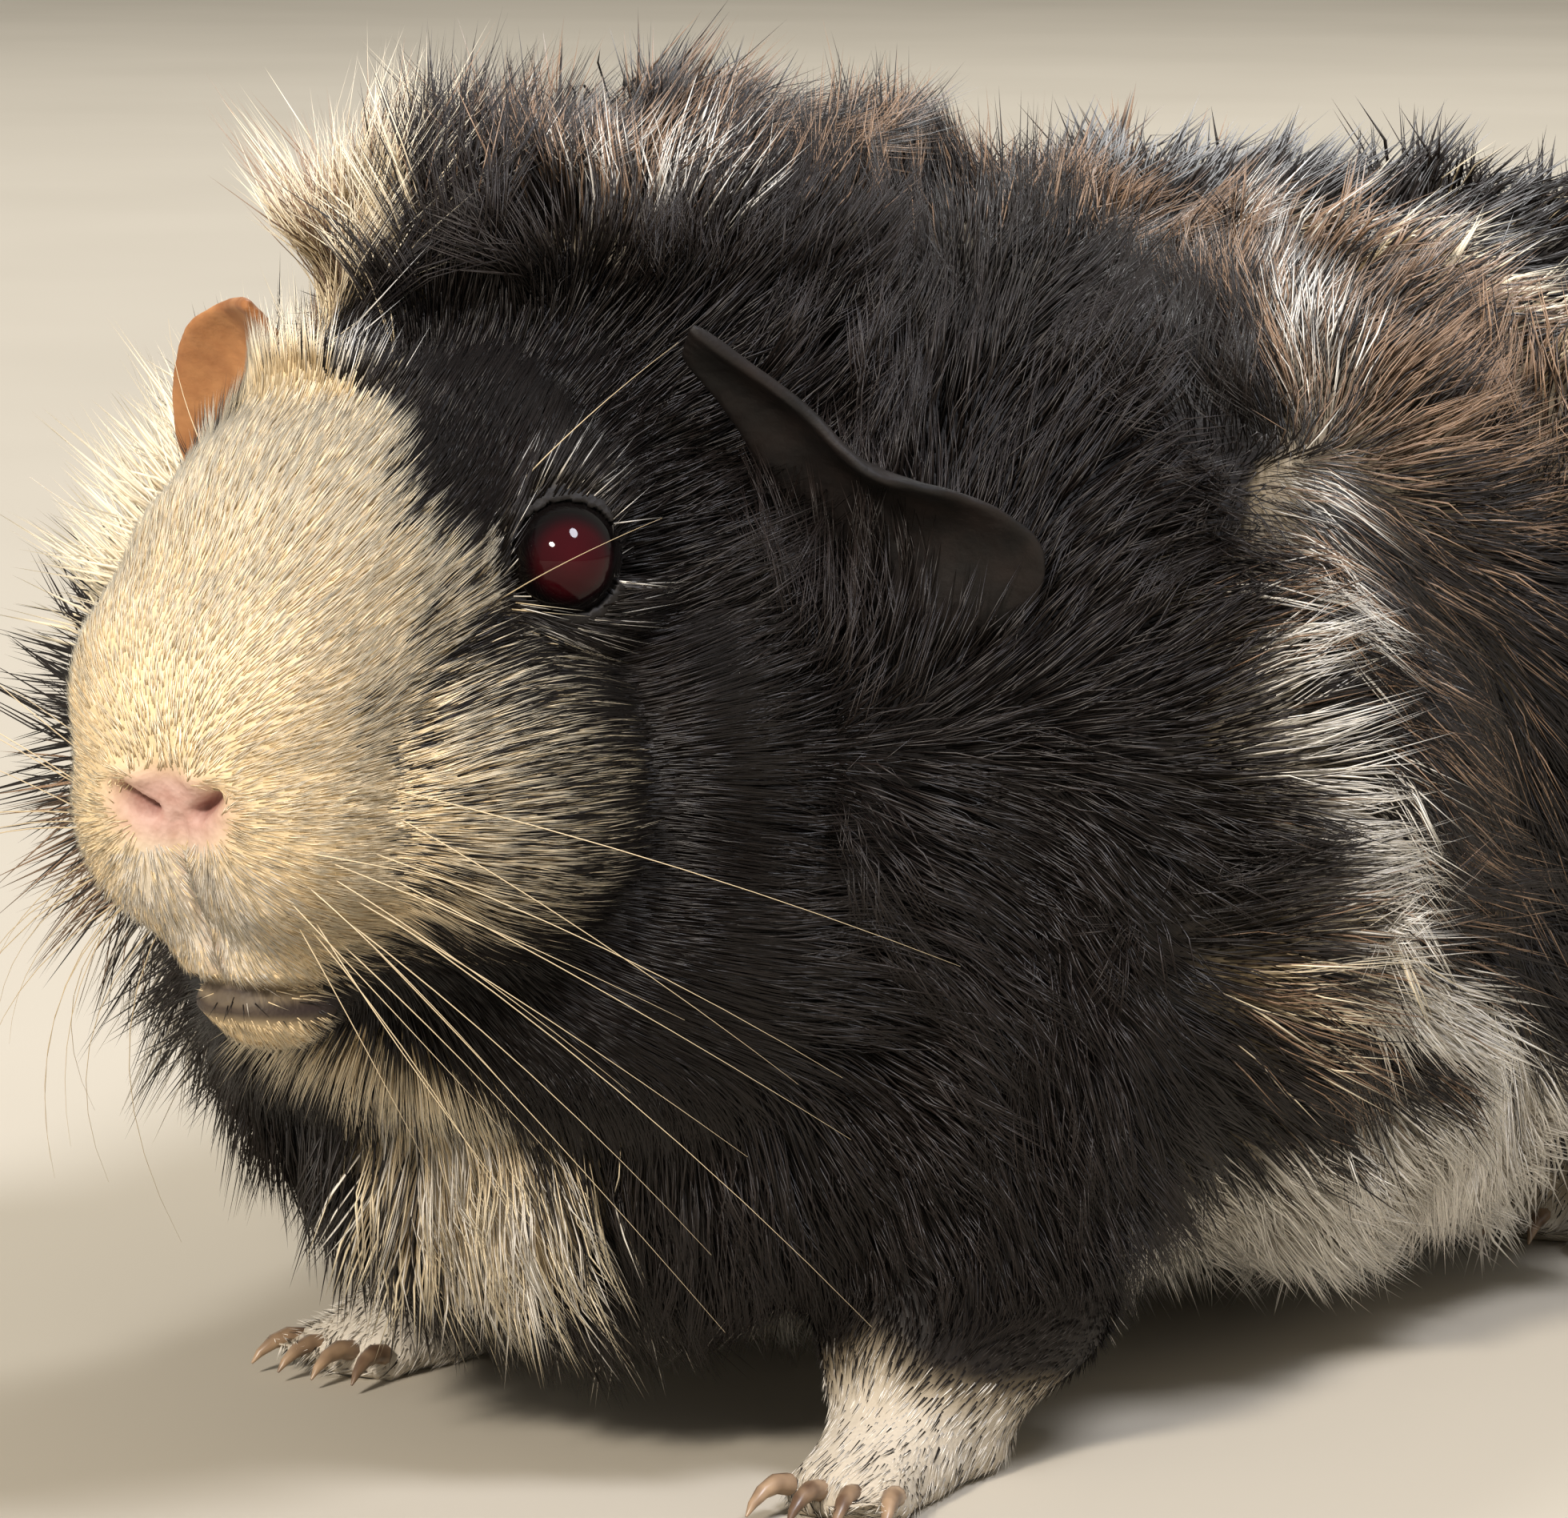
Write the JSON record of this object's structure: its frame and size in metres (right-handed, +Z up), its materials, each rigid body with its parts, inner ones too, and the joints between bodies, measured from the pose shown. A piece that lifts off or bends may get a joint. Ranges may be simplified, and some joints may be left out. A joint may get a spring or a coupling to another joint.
{
  "type": "guinea pig model",
  "caption": "Life-size still model of a standing adult guinea pig with a rough whorled coat, head raised, ears drooping, in black-brown, cream and white.",
  "frame": {"origin": "on the floor, under the middle of the animal's box", "axes": "+Z up, the animal faces -Y, its left side is +X, its length runs along Y"},
  "size_m": [0.1282, 0.2338, 0.115],
  "materials": {
    "cream_coat": "short soft hair, cream to buff",
    "black_coat": "long soft hair, black-brown with a bluish sheen",
    "brown_coat": "long rough hair in whorls, black-brown, tan and white",
    "white_coat": "soft white hair",
    "ear_skin": "thin bare skin, dark on the left ear and pink on the right",
    "eye": "wet gloss, dark ruby"
  },
  "bodies": {
    "root": {"head": "cream_coat", "neck": "black_coat", "trunk": "brown_coat", "front_leg_left": "brown_coat", "front_leg_right": "white_coat", "hind_leg_left": "brown_coat", "hind_leg_right": "white_coat", "ear_left": "ear_skin", "ear_right": "ear_skin", "eye_left": "eye", "eye_right": "eye"}
  },
  "joints": []
}
